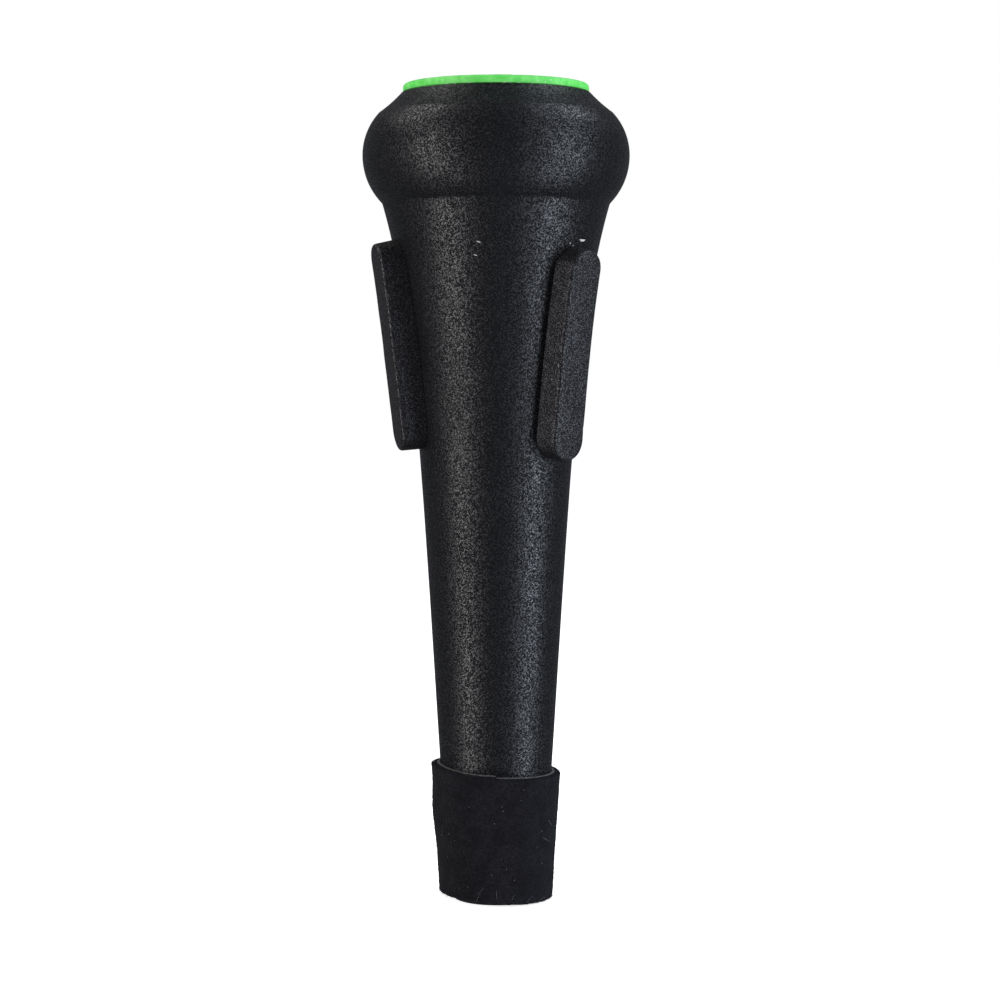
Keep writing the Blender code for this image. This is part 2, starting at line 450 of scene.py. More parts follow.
class Effects:
    """Shader groups that the finishes share."""

    def __init__(self) -> None:
        """Builds each group once."""
        self.grain = self.build_grain()
        self.specks = self.build_specks()
        self.mottle = self.build_mottle()

    @staticmethod
    def sized(wires: Wires, start: bpy.types.Node) -> bpy.types.NodeSocket:
        """Place divided by the size of the pattern.

        Args:
            wires: The group's wires.
            start: The group's input node.

        Returns:
            The socket with the scaled place.
        """
        per_size = wires.maths("DIVIDE", 1.0, start.outputs["Size"])
        scaled = wires.add("ShaderNodeVectorMath", {"operation": "SCALE"})
        wires.feed(scaled.inputs[0], start.outputs["Place"])
        wires.feed(scaled.inputs["Scale"], per_size)
        return scaled.outputs[0]

    def build_grain(self) -> bpy.types.NodeTree:
        """Builds short bent ridges, as a spark-eroded mould leaves them.

        Returns:
            The group, whose height is 0 to 1.
        """
        inputs = [
            ("Place", Socket.PLACE, 0.0),
            ("Size", Socket.NUMBER, 0.3 * MM),
            ("Bend", Socket.NUMBER, 1.0),
            ("Fineness", Socket.NUMBER, 1.0),
        ]
        group = new_group("short_ridges", inputs, ["Height"])
        wires = Wires(group)
        start = wires.add("NodeGroupInput")
        end = wires.add("NodeGroupOutput")
        pattern = wires.add(
            "ShaderNodeTexNoise",
            Vector=self.sized(wires, start),
            Scale=1.0,
            Detail=start.outputs["Fineness"],
            Roughness=0.55,
            Distortion=start.outputs["Bend"],
        )
        wires.feed(end.inputs["Height"], wires.spread(pattern.outputs[0], 0.28, 0.72, (0.0, 1.0)))
        return group

    def build_specks(self) -> bpy.types.NodeTree:
        """Builds scattered round specks or pores.

        Returns:
            The group, whose mask is 1 in the middle of a speck.
        """
        inputs = [
            ("Place", Socket.PLACE, 0.0),
            ("Size", Socket.NUMBER, 0.3 * MM),
            ("Reach", Socket.NUMBER, 0.3),
            ("Share", Socket.NUMBER, 0.5),
        ]
        group = new_group("scattered_specks", inputs, ["Mask"])
        wires = Wires(group)
        start = wires.add("NodeGroupInput")
        end = wires.add("NodeGroupOutput")
        cells = wires.add("ShaderNodeTexVoronoi", Vector=self.sized(wires, start), Scale=1.0)
        near = wires.spread(cells.outputs["Distance"], 0.0, start.outputs["Reach"], (1.0, 0.0))
        parts = wires.add("ShaderNodeSeparateColor", Color=cells.outputs["Color"])
        chosen = wires.maths("LESS_THAN", parts.outputs[0], start.outputs["Share"])
        wires.feed(end.inputs["Mask"], wires.maths("MULTIPLY", near, chosen))
        return group

    def build_mottle(self) -> bpy.types.NodeTree:
        """Builds broad soft patches.

        Returns:
            The group, whose mask is 0 to 1.
        """
        inputs = [("Place", Socket.PLACE, 0.0), ("Size", Socket.NUMBER, 6 * MM)]
        group = new_group("soft_patches", inputs, ["Mask"])
        wires = Wires(group)
        start = wires.add("NodeGroupInput")
        end = wires.add("NodeGroupOutput")
        cloud = wires.add(
            "ShaderNodeTexNoise", Vector=self.sized(wires, start), Scale=1.0, Detail=3.0, Roughness=0.6)
        wires.feed(end.inputs["Mask"], wires.spread(cloud.outputs[0], 0.3, 0.7, (0.0, 1.0)))
        return group


class Finish:
    """What every finish has: a material, its shader and the place on the surface."""

    def __init__(self, name: str, effects: Effects) -> None:
        """Makes the material and finds its shader.

        Args:
            name: Name of the material.
            effects: The shared shader groups.
        """
        self.effects = effects
        self.material = bpy.data.materials.new(name)
        self.material.use_nodes = True
        self.wires = Wires(self.material.node_tree)
        self.shader = self.material.node_tree.nodes["Principled BSDF"]
        self.place = self.wires.add("ShaderNodeTexCoord").outputs["Object"]

    def effect(self, group: bpy.types.NodeTree, **values: object) -> bpy.types.NodeSocket:
        """Places a shared group in the material and returns its output."""
        node = self.wires.add("ShaderNodeGroup", {"node_tree": group})
        self.wires.feed(node.inputs["Place"], self.place)
        for name, value in values.items():
            self.wires.feed(node.inputs[name], value)
        return node.outputs[0]

    def bump(self, height: bpy.types.NodeSocket, depth: float, below: bpy.types.NodeSocket | None = None) -> bpy.types.NodeSocket:
        """Turns a height into a normal.

        Args:
            height: Socket with heights from 0 to 1.
            depth: How deep the full height is, in metres.
            below: Normal that it is laid over, if any.

        Returns:
            The socket with the normal.
        """
        node = self.wires.add("ShaderNodeBump", Strength=1.0, Distance=depth, Height=height)
        if below is not None:
            self.wires.feed(node.inputs["Normal"], below)
        return node.outputs["Normal"]

    def set(self, **values: object) -> None:
        """Sets or joins inputs of the shader. An underscore stands for a space."""
        for name, value in values.items():
            self.wires.feed(self.shader.inputs[name.replace("_", " ")], value)


@dataclass(frozen=True)
class GrainedPlastic:
    """Black moulded plastic with dull valleys between the burnished tops of a fine grain."""

    valley: Colour = (0.0088, 0.0094, 0.0110)
    top: Colour = (0.087, 0.087, 0.093)
    grain_size: float = 0.23 * MM
    grain_bend: float = 1.2
    grain_depth: float = 0.018 * MM
    burnished: tuple[float, float] = (0.54, 0.66)
    bright: tuple[float, float] = (0.62, 0.80)
    roughness: tuple[float, float] = (0.34, 0.41)
    specular: float = 0.03

    def make(self, effects: Effects) -> bpy.types.Material:
        """Builds the material.

        Args:
            effects: The shared shader groups.

        Returns:
            The material.
        """
        finish = Finish("grained_plastic", effects)
        ridges = finish.effect(effects.grain, Size=self.grain_size, Bend=self.grain_bend, Fineness=0.6)
        patches = finish.effect(effects.mottle, Size=9 * MM)
        brightness = finish.wires.spread(ridges, *self.bright, (0.0, 1.0))
        finish.set(
            Base_Color=finish.wires.blend(brightness, self.valley, self.top),
            Metallic=finish.wires.spread(ridges, *self.burnished, (0.0, 1.0)),
            Roughness=finish.wires.spread(patches, 0.0, 1.0, self.roughness),
            Specular_IOR_Level=self.specular,
            Normal=finish.bump(ridges, self.grain_depth),
        )
        return finish.material


@dataclass(frozen=True)
class CapPlastic:
    """Bright green plastic with a soft, faintly mottled face."""

    deep: Colour = (0.105, 0.79, 0.10)
    pale: Colour = (0.22, 0.93, 0.20)
    fleck: Colour = (0.55, 0.95, 0.52)
    fleck_size: float = 0.42 * MM
    fleck_share: float = 0.22
    roughness: float = 0.42

    def make(self, effects: Effects) -> bpy.types.Material:
        """Builds the material.

        Args:
            effects: The shared shader groups.

        Returns:
            The material.
        """
        finish = Finish("cap_plastic", effects)
        patches = finish.effect(effects.mottle, Size=1.6 * MM)
        flecks = finish.effect(effects.specks, Size=self.fleck_size, Reach=0.34, Share=self.fleck_share)
        grain = finish.effect(effects.grain, Size=0.3 * MM, Bend=0.8, Fineness=2.0)
        green = finish.wires.blend(patches, self.deep, self.pale)
        finish.set(
            Base_Color=finish.wires.blend(finish.wires.maths("MULTIPLY", flecks, 0.5), green, self.fleck),
            Roughness=self.roughness,
            Normal=finish.bump(grain, 0.03 * MM),
        )
        return finish.material


@dataclass(frozen=True)
class FoamRubber:
    """Black closed-cell foam, cut so that its pores show."""

    cell: Colour = (0.0085, 0.0083, 0.0098)
    skin: Colour = (0.108, 0.108, 0.120)
    pore_size: float = 0.30 * MM
    pore_depth: float = 0.02 * MM
    grain_size: float = 0.20 * MM
    grain_depth: float = 0.02 * MM
    smooth: tuple[float, float] = (0.52, 0.72)
    bright: tuple[float, float] = (0.60, 0.82)
    roughness: tuple[float, float] = (0.46, 0.56)
    specular: float = 0.10

    def make(self, effects: Effects) -> bpy.types.Material:
        """Builds the material.

        Args:
            effects: The shared shader groups.

        Returns:
            The material.
        """
        finish = Finish("foam_rubber", effects)
        pores = finish.effect(effects.specks, Size=self.pore_size, Reach=0.4, Share=0.45)
        grain = finish.effect(effects.grain, Size=self.grain_size, Bend=0.5, Fineness=0.6)
        patches = finish.effect(effects.mottle, Size=5 * MM)
        rough = finish.bump(grain, self.grain_depth)
        pitted = finish.bump(finish.wires.maths("SUBTRACT", 1.0, pores), self.pore_depth, rough)
        brightness = finish.wires.spread(grain, *self.bright, (0.0, 1.0))
        finish.set(
            Base_Color=finish.wires.blend(brightness, self.cell, self.skin),
            Metallic=finish.wires.spread(grain, *self.smooth, (0.0, 1.0)),
            Roughness=finish.wires.spread(patches, 0.0, 1.0, self.roughness),
            Specular_IOR_Level=self.specular,
            Normal=pitted,
        )
        return finish.material


@dataclass(frozen=True)
class WoolFelt:
    """Black felt with a short nap."""

    name: str = "wool_felt"
    dark: Colour = (0.0040, 0.0040, 0.0056)
    light: Colour = (0.0205, 0.0200, 0.0250)
    nap_size: float = 0.22 * MM
    nap_depth: float = 0.03 * MM
    sheen: float = 0.02
    specular: float = 0.06

    def make(self, effects: Effects) -> bpy.types.Material:
        """Builds the material.

        Args:
            effects: The shared shader groups.

        Returns:
            The material.
        """
        finish = Finish(self.name, effects)
        nap = finish.effect(effects.grain, Size=self.nap_size, Bend=1.5, Fineness=1.0)
        patches = finish.effect(effects.mottle, Size=3 * MM)
        shade = finish.wires.maths("MULTIPLY", nap, finish.wires.spread(patches, 0.0, 1.0, (0.6, 1.0)))
        finish.set(
            Base_Color=finish.wires.blend(shade, self.dark, self.light),
            Roughness=0.95,
            Specular_IOR_Level=self.specular,
            Sheen_Weight=self.sheen,
            Sheen_Roughness=0.45,
            Normal=finish.bump(nap, self.nap_depth),
        )
        return finish.material


@dataclass(frozen=True)
class PaleTrace:
    """Pale material of small marks, slightly uneven: dried adhesive, grit, lint, hairs and painted highlights."""

    name: str
    low: Colour
    high: Colour
    roughness: float

    def make(self, effects: Effects) -> bpy.types.Material:
        """Builds the material.

        Args:
            effects: The shared shader groups.

        Returns:
            The material.
        """
        finish = Finish(self.name, effects)
        patches = finish.effect(effects.mottle, Size=0.25 * MM)
        finish.set(Base_Color=finish.wires.blend(patches, self.low, self.high), Roughness=self.roughness)
        return finish.material


def place_piece(item: bpy.types.Object, nodes: Sequence[str] = ()) -> bpy.types.Object:
    """Makes a piece ride on the mute and hides the solids that it replaces.

    Args:
        item: The piece.
        nodes: Solids that it replaces.

    Returns:
        The piece.
    """
    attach(item, BODY)
    if nodes:
        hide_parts(*nodes)
    LOG.info("%s: %d faces", item.name, len(item.data.polygons))
    return item


@dataclass
class PhotoCamera:
    """The camera at the photograph's angle."""

    place: Vector = field(default_factory=lambda: Vector((0.67 * MM, -411.0 * MM, 94.37 * MM)))
    pitch: float = math.radians(3.516)
    focal_pixels: float = 2386.1
    frame_pixels: float = 1000.0
    sensor: float = 36.0

    def build(self) -> None:
        """Makes the camera and looks through it."""
        data = bpy.data.cameras.new("photo_camera")
        data.sensor_width = self.sensor
        data.lens = self.sensor * self.focal_pixels / self.frame_pixels
        data.clip_start = 0.01
        camera = bpy.data.objects.new("photo_camera", data)
        camera.location = self.place
        camera.rotation_euler = (math.pi / 2 - self.pitch, 0.0, 0.0)
        bpy.context.scene.collection.objects.link(camera)
        bpy.context.scene.camera = camera

    def ray(self, across: float, down: float) -> Vector:
        """Finds the direction in which a pixel of the photograph looks.

        Args:
            across: Pixels from the left edge.
            down: Pixels from the top edge.

        Returns:
            Unit vector away from the camera.
        """
        middle = self.frame_pixels / 2
        forward = Vector((0.0, math.cos(self.pitch), -math.sin(self.pitch)))
        up = Vector((0.0, math.sin(self.pitch), math.cos(self.pitch)))
        right = Vector((1.0, 0.0, 0.0))
        sideways = right * (across - middle) + up * (middle - down)
        return (forward + sideways / self.focal_pixels).normalized()

    def touch(self, item: bpy.types.Object, across: float, down: float) -> tuple[Vector, Vector] | None:
        """Finds where a pixel's line of sight meets a piece.

        Args:
            item: The piece.
            across: Pixels from the left edge.
            down: Pixels from the top edge.

        Returns:
            The point and the surface's normal there, or None where it misses.
        """
        tree = BVHTree.FromObject(item, bpy.context.evaluated_depsgraph_get())
        point, normal, _, _ = tree.ray_cast(self.place, self.ray(across, down))
        return None if point is None else (point, normal)


@dataclass
class HornBody:
    """The hollow horn with its bulb."""

    form: HornForm
    rings: int = 72
    turn_steps: int = 224
    unevenness: float = 0.012 * MM

    def build(self, finish: bpy.types.Material) -> bpy.types.Object:
        """Makes the horn in place of its solid.

        Args:
            finish: Its material.

        Returns:
            The piece.
        """
        shape = turned(self.form.section(self.rings), self.turn_steps, True, self.settle)
        return place_piece(shape.make("horn_body", [finish], 40.0), ["body_shell"])

    def settle(self, place: Vector) -> Vector:
        """Gives the wall the faint unevenness of a moulding, none at the foot."""
        outward = Vector((place.x, place.y, 0.0)).normalized()
        fade = min(max(place.z, 0.0) / (5 * MM), 1.0)
        return place + outward * (self.unevenness * fade * wander(place, 7 * MM, 3.1))


@dataclass
class EndCap:
    """The green disc in the mouth, with its spigot."""

    form: HornForm
    seat_gap: float = 0.3 * MM
    shown_gap: float = 0.12 * MM
    inset: float = 0.24 * MM
    thickness: float = 1.2 * MM
    edge: float = 0.6 * MM
    edge_steps: int = 8
    spigot_depth: float = 2.4 * MM
    spigot_wall: float = 1.4 * MM
    turn_steps: int = 288
    burr: float = 0.05 * MM

    def build(self, finish: bpy.types.Material) -> bpy.types.Object:
        """Makes the cap in place of its solid.

        Args:
            finish: Its material.

        Returns:
            The piece.
        """
        seat = self.form.rim().y + self.seat_gap
        top = seat + self.thickness
        rim = self.form.rim().x - self.inset
        spigot = self.form.rim().x - self.form.mouth_wall - self.seat_gap
        section = [Vector((0.0, top)), Vector((rim * 0.5, top))]
        for step in range(self.edge_steps + 1):
            angle = math.pi / 2 * (1 - step / self.edge_steps)
            centre = Vector((rim - self.edge, top - self.edge))
            section.append(centre + self.edge * Vector((math.cos(angle), math.sin(angle))))
        foot = seat - self.seat_gap + self.shown_gap
        section += [
            Vector((rim, foot + 0.1 * MM)),
            Vector((rim - 0.1 * MM, foot)),
            Vector((spigot, foot)),
            Vector((spigot, seat - self.spigot_depth)),
            Vector((spigot - self.spigot_wall, seat - self.spigot_depth)),
            Vector((spigot - self.spigot_wall, seat)),
            Vector((0.0, seat)),
        ]
        shape = turned(section, self.turn_steps, False, self.settle)
        return place_piece(shape.make("green_cap", [finish], 50.0), ["end_cap"])

    def settle(self, place: Vector) -> Vector:
        """Roughens the cut edge of the disc a little."""
        reach = Vector((place.x, place.y, 0.0))
        if reach.length < self.form.rim().x - 2 * self.inset - self.edge:
            return place
        outward = reach.normalized()
        rough = wander(place, 0.8 * MM, 1.7) + 0.6 * wander(place, 0.35 * MM, 5.2)
        return place + outward * (self.burr * min(rough, 0.0)) + Vector((0, 0, self.burr * 0.5 * min(rough, 0.0)))


@dataclass(frozen=True)
class Crease:
    """A faint fold across the face of a foam strip."""

    middle: float
    lean: float
    depth: float
    width: float

    def depth_at(self, place: Vector) -> float:
        """How deep the fold is at a place on the flat strip."""
        away = (place.y - self.middle - self.lean * place.x) / self.width
        return self.depth * math.exp(-away * away)


@dataclass
class FoamStrip:
    """One foam strip on the flare."""

    name: str
    node: str
    turn: float
    drop: float
    form: HornForm
    crease: Crease | None = None
    bulge: float = 0.0
    skew: float = 0.0
    length: float = 35.8 * MM
    width: float = 7.2 * MM
    thickness: float = 3.6 * MM
    edge: float = 0.55 * MM
    seat_gap: float = 0.3 * MM
    glued_gap: float = 0.08 * MM
    crown: float = 0.10 * MM
    side_steps: int = 72
    end_steps: int = 22

    def build(self, finish: bpy.types.Material) -> bpy.types.Object:
        """Makes the strip in place of its solid.

        Args:
            finish: Its material.

        Returns:
            The piece.
        """
        shape = Shape()
        rings = [shape.add_ring([self.bend(point) for point in ring]) for ring in self.flat_rings()]
        for low, high in zip(rings, rings[1:]):
            shape.join_rings(low, high)
        piece = place_piece(shape.make(self.name, [finish], 60.0), [self.node])
        return piece

    def flat_rings(self) -> list[list[Vector]]:
        """Rings over the flat strip, from the middle of its glued side to the middle of its face."""
        radius = self.width / 2
        rings = []
        for share in (0.0, 0.3, 0.6, 0.85, 1.0):
            rings.append(self.outline(radius * share, 0.0))
        for share in (0.15, 0.35, 0.55, 0.75, 0.9, 1.0):
            rings.append(self.outline(radius, (self.thickness - self.edge) * share))
        for step in range(1, 7):
            angle = math.pi / 2 * step / 6
            inset = self.edge * (1 - math.cos(angle))
            rings.append(self.outline(radius - inset, self.thickness - self.edge * (1 - math.sin(angle))))
        for share in (0.92, 0.8, 0.65, 0.5, 0.33, 0.16, 0.0):
            rings.append(self.outline((radius - self.edge) * share, self.thickness))
        return rings

    def outline(self, radius: float, height: float) -> list[Vector]:
        """Finds a ring with straight sides along Y and half-round ends.

        Args:
            radius: Radius of its ends, which is half its width.
            height: Height of the ring above the glued side.

        Returns:
            Its points.
        """
        reach = (self.length - self.width) / 2
        ring = []
        for sign in (1, -1):
            for step in range(self.end_steps + 1):
                angle = math.pi * step / self.end_steps
                ring.append(
                    Vector((sign * radius * math.cos(angle), sign * (reach + radius * math.sin(angle)), height)))
            for step in range(1, self.side_steps):
                along = reach * (1 - 2 * step / self.side_steps)
                ring.append(Vector((-sign * radius, sign * along, height)))
        return ring

    def bend(self, place: Vector) -> Vector:
        """Takes a point of the flat strip to its place on the flare.

        Args:
            place: Across, along and above the glued side.

        Returns:
            The point in the frame.
        """
        middle = self.form.waist_height - self.drop - self.length / 2
        height = middle + place.y * math.cos(math.atan(self.form.slope(middle)))
        radius = self.form.radius(height)
        normal = self.form.normal(height)
        along = place.y / self.length + 0.5
        across = place.x + self.skew * along
        hollow = radius - math.sqrt(radius * radius - across * across)
        share = place.z / self.thickness
        lift = self.glued_gap + (self.seat_gap - self.glued_gap) * share + place.z
        lift += share * (self.unevenness(place) + self.bulge * 4 * along * (1 - along))
        outward = radius + normal.x * lift - hollow * (1 - share)
        across += share * 0.04 * MM * wander(place, 3 * MM, self.turn + 4)
        return Vector((
            outward * math.cos(self.turn) - across * math.sin(self.turn),
            outward * math.sin(self.turn) + across * math.cos(self.turn),
            height + normal.y * lift,
        ))

    def unevenness(self, place: Vector) -> float:
        """How far the face stands out or in from flat at a place."""
        shares = 1 - (2 * place.x / self.width) ** 2
        lift = self.crown * (shares - 1) + 0.05 * MM * wander(place, 4 * MM, self.turn)
        lift += 0.012 * MM * wander(place, 0.6 * MM, self.turn + 9)
        return lift - (self.crease.depth_at(place) if self.crease else 0.0)


@dataclass
class FeltSleeve:
    """The felt strip wrapped round the neck, a little askew, with its nap."""

    form: HornForm
    width: float = 21.8 * MM
    thickness: float = 1.2 * MM
    edge: float = 0.3 * MM
    foot: float = 0.8 * MM
    tilt: float = math.radians(3.3)
    seam_turn: float = math.radians(-90)
    seam_gap: float = 0.01 * MM
    seam_step: float = 0.25 * MM
    film_lip: float = 0.11 * MM
    left_drop: float = 0.2 * MM
    left_rise: float = 0.5 * MM
    left_puff: float = 0.35 * MM
    puff_height: float = 15 * MM
    puff_reach: float = 4.5 * MM
    seat_gap: float = 0.3 * MM
    glued_gap: float = 0.1 * MM
    wraps: int = 520
    face_rows: int = 84
    nap_count: int = 5200
    seed: int = 7

    def wrapped_radius(self) -> float:
        """Radius of the strip's glued side at the middle of its width."""
        return self.form.radius(self.foot + self.width / 2) + self.seat_gap

    def length(self) -> float:
        """Length that the strip is cut to."""
        return math.tau * self.wrapped_radius() - self.seam_gap

    def section(self) -> list[tuple[Vector, int]]:
        """Section across the strip: (height, depth) points, each with the finish of what follows it."""
        nap, film = 0, 1
        edge, top, width = self.edge, self.thickness, self.width
        points = [(Vector((0.0, 0.0)), nap), (Vector((0.0, top * 0.4)), nap)]
        for step in range(5):
            angle = math.pi / 2 * step / 4
            points.append((Vector((edge * (1 - math.cos(angle)), top - edge * (1 - math.sin(angle)))), nap))
        for step in range(1, self.face_rows):
            points.append((Vector((edge + (width - 2 * edge) * step / self.face_rows, top)), nap))
        for step in range(5):
            angle = math.pi / 2 * (1 - step / 4)
            points.append((Vector((width - edge * (1 - math.cos(angle)), top - edge * (1 - math.sin(angle)))), nap))
        points.append((Vector((width, top * 0.3)), film))
        points.append((Vector((width + self.film_lip, top * 0.24)), film))
        points.append((Vector((width + self.film_lip, 0.0)), film))
        for step in range(9):
            points.append((Vector((width * (1 - step / 9), 0.0)), nap))
        return points

    def wrap(self, place: Vector) -> Vector:
        """Takes a point of the flat strip to its place round the neck.

        Args:
            place: Along, across and above the glued side.

        Returns:
            The point in the frame.
        """
        angle = self.seam_turn + (place.x + self.seam_gap / 2) / self.wrapped_radius()
        askew = -math.tan(self.tilt) * math.cos(angle) * self.wrapped_radius()
        step = self.seam_step * (place.x / self.length() - 0.5)
        leftward = max(-math.cos(angle), 0.0)
        lowered = self.left_drop * leftward * max(1 - place.y / (3 * MM), 0.0)
        raised = self.left_rise * leftward ** 3 * place.y / self.width
        hidden = 0.7 * leftward * max(place.y - self.width, 0.0)
        height = max(self.foot + place.y + askew + step + raised - lowered - hidden, 0.02 * MM)
        normal = self.form.normal(height)
        share = place.z / self.thickness
        puff = self.left_puff * leftward * math.exp(-((height - self.puff_height) / self.puff_reach) ** 2)
        lift = self.glued_gap + (self.seat_gap - self.glued_gap + puff) * share + place.z
        outward = self.form.radius(height) + normal.x * lift
        return Vector((outward * math.cos(angle), outward * math.sin(angle), height + normal.y * lift))

    def roughen(self, place: Vector) -> Vector:
        """Gives the flat strip its nap and its uneven cut edges."""
        share = place.z / self.thickness
        nap = 0.09 * MM * wander(place, 0.5 * MM, 2.3) + 0.07 * MM * wander(place, 3.5 * MM, 6.1)
        nearness = max(0.0, 1 - min(place.y, self.width - place.y) / (0.8 * MM))
        side = 1 if place.y > self.width / 2 else -1
        ragged = 0.05 * MM * wander(place, 0.3 * MM, 8.8) + 0.06 * MM * wander(place, 1.4 * MM, 4.2)
        return place + Vector((0.0, side * nearness * ragged, share * nap))

    def build(self, felt: bpy.types.Material, cut_felt: bpy.types.Material) -> bpy.types.Object:
        """Makes the wrapped strip in place of its solid.

        Args:
            felt: Finish of its faces.
            cut_felt: Finish of its cut edges.

        Returns:
            The piece.
        """
        shape = Shape()
        section = self.section()
        columns = []
        for wrap in range(self.wraps + 1):
            along = self.length() * wrap / self.wraps
            column = []
            for point, _ in section:
                column.append(self.wrap(self.roughen(Vector((along, point.x, point.y)))))
            columns.append(shape.add_ring(column))
        count = len(section)
        for first, second in zip(columns, columns[1:]):
            for index in range(count):
                after = (index + 1) % count
                corners = (first[index], second[index], second[after], first[after])
                shape.add_face(corners, section[index][1])
        shape.add_face(columns[0])
        shape.add_face(columns[-1][::-1])
        return place_piece(shape.make("felt_sleeve", [felt, cut_felt], 70.0), ["neck_sleeve"])

    def build_nap(self, finish: bpy.types.Material) -> bpy.types.Object:
        """Makes the loose fibres that stand off the felt.

        Args:
            finish: Their material.

        Returns:
            The piece.
        """
        chance = random.Random(self.seed)
        shape = Shape()
        for _ in range(self.nap_count):
            at_edge = chance.random() < 0.22
            along = chance.uniform(0.3 * MM, self.length() - 0.3 * MM)
            across = chance.uniform(0.2 * MM, self.width - 0.2 * MM)
            if at_edge:
                across = chance.choice((0.06 * MM, self.width - 0.06 * MM))
            root = self.wrap(self.roughen(Vector((along, across, self.thickness - 0.05 * MM))))
            outward = Vector((root.x, root.y, 0.0)).normalized()
            around = Vector((-outward.y, outward.x, 0.0))
            turn = chance.uniform(0.0, math.tau)
            lean = around * math.cos(turn) + Vector((0.0, 0.0, math.sin(turn)))
            if at_edge:
                lean = Vector((0.0, 0.0, 1.0 if across > self.width / 2 else -1.0)) + around * chance.uniform(-1, 1)
            reach = chance.uniform(0.15, 0.42) * MM
            tip = root + (lean.normalized() * chance.uniform(0.5, 1.0) + outward * chance.uniform(0.25, 0.6)) * reach
            tip.z = max(tip.z, 0.01 * MM)
            add_fibre(shape, [root, (root + tip) / 2 + outward * 0.1 * reach, tip], 0.012 * MM)
        return place_piece(shape.make("felt_nap", [finish]))


def add_fibre(shape: Shape, line: Sequence[Vector], radius: float) -> None:
    """Adds a thin closed fibre, pointed at its end.

    Args:
        shape: What it is added to.
        line: The points it runs through, from root to tip.
        radius: Its radius at the root.
    """
    sides = 3
    rings = []
    for index, point in enumerate(line[:-1]):
        along = (line[index + 1] - point).normalized()
        across = along.orthogonal().normalized()
        over = along.cross(across)
        size = radius * (1 - 0.5 * index / len(line))
        ring = []
        for side in range(sides):
            angle = math.tau * side / sides
            ring.append(point + size * (across * math.cos(angle) + over * math.sin(angle)))
        rings.append(shape.add_ring(ring))
    for low, high in zip(rings, rings[1:]):
        shape.join_rings(low, high)
    tip = shape.add_ring([line[-1]])[0]
    last = rings[-1]
    for side in range(sides):
        shape.add_face((last[side], last[(side + 1) % sides], tip))
    shape.add_face(rings[0][::-1])


@dataclass(frozen=True)
class Mark:
    """A small pale mark, placed by its pixel in the photograph."""

    across: float
    down: float
    length: float = 0.16 * MM
    width: float = 0.12 * MM
    height: float = 0.05 * MM
    turn: float = 0.0
    curl: float = 0.0

    def add_to(self, shape: Shape, point: Vector, normal: Vector, seed: float) -> None:
        """Adds the mark as a low lump that lies on the surface.

        Args:
            shape: What it is added to.
            point: Where it lies.
            normal: The surface's normal there.
            seed: Picks its unevenness.
        """
        level = Vector((0.0, 0.0, 1.0)).cross(normal)
        level = level.normalized() if level.length > 0.01 else Vector((1.0, 0.0, 0.0))
        rise = normal.cross(level)
        along = level * math.cos(self.turn) + rise * math.sin(self.turn)
        over = normal.cross(along)
        rows, sides = 8, 8
        rings = []
        for row in range(rows + 1):
            share = 2 * row / rows - 1
            girth = math.sqrt(max(1 - share * share, 0.0))
            ring = []
            for side in range(sides):
                angle = math.tau * side / sides
                uneven = 1 + 0.25 * wander(Vector((share, math.cos(angle), math.sin(angle))), 0.6, seed)
                spot = point + along * (self.length / 2 * share)
                spot += over * (self.width / 2 * girth * math.cos(angle) * uneven - self.curl * share * share)
                spot += normal * (self.height * girth * math.sin(angle) * uneven)
                ring.append(spot)
            rings.append(shape.add_ring(ring))
        for low, high in zip(rings, rings[1:]):
            shape.join_rings(low, high)


@dataclass
class Marks:
    """A group of small marks on one piece."""

    name: str
    marks: Sequence[Mark]
    finish: PaleTrace

    def build(self, camera: PhotoCamera, carrier: bpy.types.Object, effects: Effects) -> bpy.types.Object:
        """Lays the marks on the piece that carries them.

        Args:
            camera: The photograph's camera, whose pixels place them.
            carrier: The piece that they lie on.
            effects: The shared shader groups.

        Returns:
            The piece.
        """
        shape = Shape()
        for index, mark in enumerate(self.marks):
            found = camera.touch(carrier, mark.across, mark.down)
            if found is None:
                LOG.info("%s: the mark at %.1f, %.1f misses", self.name, mark.across, mark.down)
                continue
            mark.add_to(shape, found[0], found[1], 1.3 * index)
        return place_piece(shape.make(self.name, [self.finish.make(effects)], 60.0))


# Pale lumps on the horn. The long crescent above the right strip and the two marks further left are dried glue. The
# two small marks beside the crescent are painted glints.
GLUE_AND_GLINT_MARKS = (
    Mark(582.2, 240.6, 1.7 * MM, 0.36 * MM, 0.09 * MM, 0.0, -0.2 * MM),
    Mark(570.2, 243.2, 0.30 * MM, 0.20 * MM),
    Mark(573.0, 245.6, 0.26 * MM, 0.16 * MM),
    Mark(478.6, 241.8, 0.75 * MM, 0.16 * MM, turn=-0.25),
    Mark(475.4, 255.0, 0.65 * MM, 0.15 * MM, turn=-0.3),
)
# Painted highlights: small pale lumps along the lower edge of the green cap, where light catches the joint with the
# horn.
CAP_EDGE_HIGHLIGHTS = (
    Mark(413.5, 88.3, 0.34 * MM, 0.16 * MM),
    Mark(419.0, 87.4, 0.45 * MM, 0.18 * MM),
    Mark(424.5, 86.3, 0.28 * MM, 0.14 * MM),
    Mark(447.0, 84.0, 0.30 * MM, 0.14 * MM),
    Mark(455.0, 83.4, 0.34 * MM, 0.15 * MM),
    Mark(469.0, 82.8, 0.42 * MM, 0.15 * MM),
    Mark(504.5, 82.2, 0.45 * MM, 0.14 * MM),
    Mark(510.0, 82.3, 0.30 * MM, 0.12 * MM),
    Mark(518.5, 82.4, 0.42 * MM, 0.13 * MM),
    Mark(532.0, 83.2, 0.28 * MM, 0.14 * MM),
    Mark(538.0, 80.5, 0.24 * MM, 0.13 * MM),
    Mark(545.5, 82.0, 0.26 * MM, 0.13 * MM),
    Mark(551.0, 80.0, 0.24 * MM, 0.13 * MM),
)
